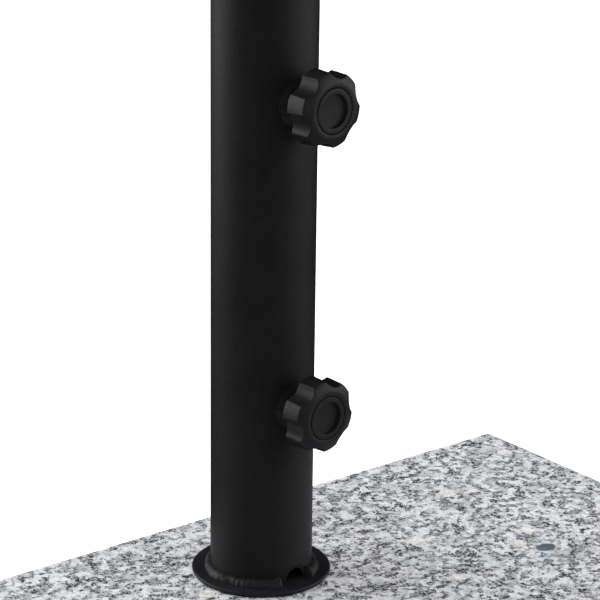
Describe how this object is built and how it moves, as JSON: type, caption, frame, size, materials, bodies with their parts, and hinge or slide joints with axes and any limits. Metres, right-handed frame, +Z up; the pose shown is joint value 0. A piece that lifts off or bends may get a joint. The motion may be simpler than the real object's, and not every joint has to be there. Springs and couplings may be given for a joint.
{
  "type": "parasol base",
  "caption": "Weighted parasol base: a granite slab with an upright steel socket tube and side clamp knobs that grip the mast.",
  "frame": {"origin": "on the floor, at the centre of the slab's footprint", "axes": "+X along the slab's long side, +Y towards the rear edge beside the tube, +Z up along the socket tube"},
  "size_m": [0.516, 0.3, 0.475],
  "materials": {
    "granite": "honed light grey granite with dark specks",
    "black_powder_coat": "matte black powder coat",
    "knob_plastic": "fine-textured black moulded plastic",
    "sleeve_plastic": "smooth satin black moulded plastic",
    "zinc_plate": "bright zinc plate",
    "nylon": "natural white nylon",
    "foot_rubber": "matte black rubber"
  },
  "bodies": {
    "root": {"granite_slab": "granite", "foot_front_left": "foot_rubber", "foot_front_right": "foot_rubber", "foot_rear_left": "foot_rubber", "foot_rear_right": "foot_rubber", "socket_tube": "black_powder_coat", "base_flange": "black_powder_coat", "flange_weld": "black_powder_coat", "anchor_bolt": "zinc_plate", "anchor_spring_washer": "zinc_plate", "anchor_washer": "zinc_plate", "anchor_nut": "zinc_plate", "upper_boss": "black_powder_coat", "upper_boss_weld": "black_powder_coat", "lower_boss": "black_powder_coat", "lower_boss_weld": "black_powder_coat"},
    "upper_pad": {"upper_tip_pad": "nylon"},
    "upper_handle": {"upper_screw": "zinc_plate", "upper_knob": "knob_plastic", "upper_knob_cap": "knob_plastic"},
    "lower_pad": {"lower_tip_pad": "nylon"},
    "lower_handle": {"lower_screw": "zinc_plate", "lower_knob": "knob_plastic", "lower_knob_cap": "knob_plastic"},
    "outer_sleeve": {"reducer_outer": "sleeve_plastic"},
    "inner_sleeve": {"reducer_inner": "sleeve_plastic"}
  },
  "joints": [
    {"name": "upper_screw_feed", "type": "slide", "parent": "root", "child": "upper_pad", "axis": [-0.0698, 0.9976, 0], "range_m": [-0.0076, 0.00225]},
    {"name": "upper_knob_turn", "type": "hinge", "parent": "upper_pad", "child": "upper_handle", "pos_m": [0.00314, 0.02511, 0.354], "axis": [-0.0698, 0.9976, 0], "range_deg": [-2174.4, 633.6]},
    {"name": "lower_screw_feed", "type": "slide", "parent": "root", "child": "lower_pad", "axis": [-0.0698, 0.9976, 0], "range_m": [-0.0088, 0.00105]},
    {"name": "lower_knob_turn", "type": "hinge", "parent": "lower_pad", "child": "lower_handle", "pos_m": [0.00314, 0.02511, 0.177], "axis": [-0.0698, 0.9976, 0], "range_deg": [-2520, 288]},
    {"name": "outer_sleeve_lift", "type": "slide", "parent": "root", "child": "outer_sleeve", "axis": [0, 0, 1], "range_m": [0, 0.06]},
    {"name": "inner_sleeve_lift", "type": "slide", "parent": "outer_sleeve", "child": "inner_sleeve", "axis": [0, 0, 1], "range_m": [0, 0.06]}
  ],
  "couplings": [
    {"joint": "upper_screw_feed", "follows": "upper_knob_turn", "m_per_rad": 0.00019894},
    {"joint": "lower_screw_feed", "follows": "lower_knob_turn", "m_per_rad": 0.00019894}
  ]
}
